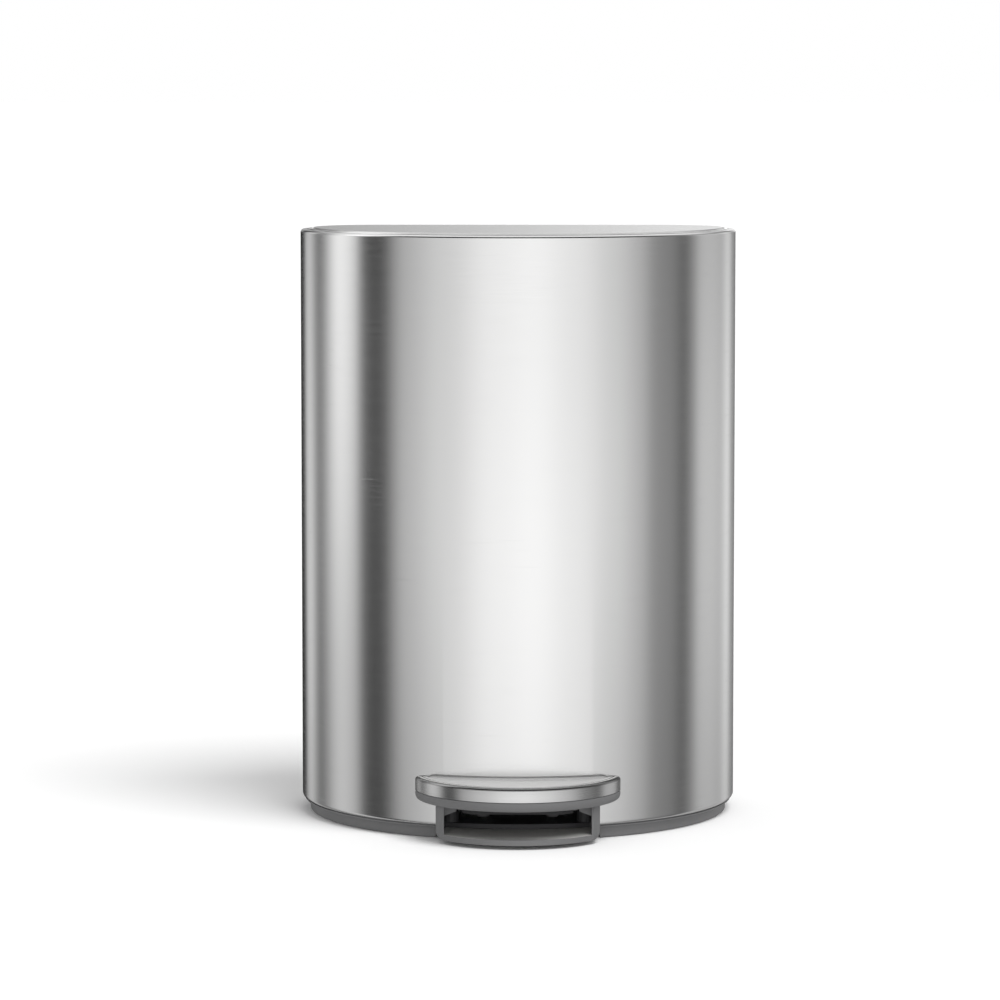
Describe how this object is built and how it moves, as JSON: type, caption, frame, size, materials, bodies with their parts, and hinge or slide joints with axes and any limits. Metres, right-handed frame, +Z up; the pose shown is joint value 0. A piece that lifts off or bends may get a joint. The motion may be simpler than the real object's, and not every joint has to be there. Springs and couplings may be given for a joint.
{
  "type": "pedal bin",
  "caption": "Half-round steel pedal bin with a hinged lid lifted by a front pedal, a grey plastic base and a lift-out inner bucket.",
  "frame": {"origin": "centre of the bounding box at the floor", "axes": "Z up; the pedal is at the front, toward -Y; X runs across the bin"},
  "size_m": [0.205, 0.1756, 0.276],
  "materials": {
    "brushed_steel_sheet": "brushed around the body",
    "bright_steel": "polished",
    "zinc_plated_steel": "zinc plated mild steel",
    "black_coated_steel": "black coated mild steel",
    "grey_plastic": "fine moulded texture",
    "dark_plastic": "fine moulded texture",
    "grey_rubber": "matt"
  },
  "bodies": {
    "frame": {"axle_bracket_left": "zinc_plated_steel", "axle_bracket_right": "zinc_plated_steel", "base_ring": "grey_plastic", "base_screw_1": "zinc_plated_steel", "base_screw_2": "zinc_plated_steel", "base_screw_3": "zinc_plated_steel", "base_screw_4": "zinc_plated_steel", "bottom_plate": "dark_plastic", "bracket_screw_left": "zinc_plated_steel", "bracket_screw_right": "zinc_plated_steel", "bucket_bail": "bright_steel", "foot_front_left": "grey_rubber", "foot_front_right": "grey_rubber", "foot_rear_left": "grey_rubber", "foot_rear_right": "grey_rubber", "hinge_block": "zinc_plated_steel", "hinge_pin": "zinc_plated_steel", "hinge_screw_left": "zinc_plated_steel", "hinge_screw_right": "zinc_plated_steel", "housing_screw_left": "zinc_plated_steel", "housing_screw_right": "zinc_plated_steel", "inner_bucket": "dark_plastic", "outer_shell": "brushed_steel_sheet", "pedal_axle": "zinc_plated_steel", "pedal_housing": "grey_plastic", "rim_trim": "bright_steel", "rod_guide": "dark_plastic", "top_collar": "dark_plastic"},
    "lid": {"lid_skin": "brushed_steel_sheet", "lid_liner": "dark_plastic", "lid_bumper_left": "grey_rubber", "lid_bumper_right": "grey_rubber"},
    "pedal": {"pedal_cladding": "brushed_steel_sheet", "pedal_body": "grey_plastic", "pedal_lever": "black_coated_steel", "pedal_screw_left": "black_coated_steel", "pedal_screw_right": "black_coated_steel", "foot_pin": "zinc_plated_steel"},
    "rod": {"lift_rod": "zinc_plated_steel", "crank_pin": "zinc_plated_steel"}
  },
  "joints": [
    {"name": "lid_hinge", "type": "hinge", "parent": "frame", "child": "lid", "pos_m": [0, 0.0786, 0.27265], "axis": [-1, 0, 0], "range_deg": [0, 75]},
    {"name": "pedal_hinge", "type": "hinge", "parent": "frame", "child": "pedal", "pos_m": [0, -0.0082, 0.013], "axis": [1, 0, 0], "range_deg": [0, 7]},
    {"name": "rod_slide", "type": "slide", "parent": "frame", "child": "rod", "axis": [0, 0, 1], "range_m": [0, 0.00982]}
  ],
  "couplings": [
    {"joint": "pedal_hinge", "follows": "lid_hinge", "ratio": 0.09333},
    {"joint": "rod_slide", "follows": "lid_hinge", "m_per_rad": 0.007487}
  ]
}
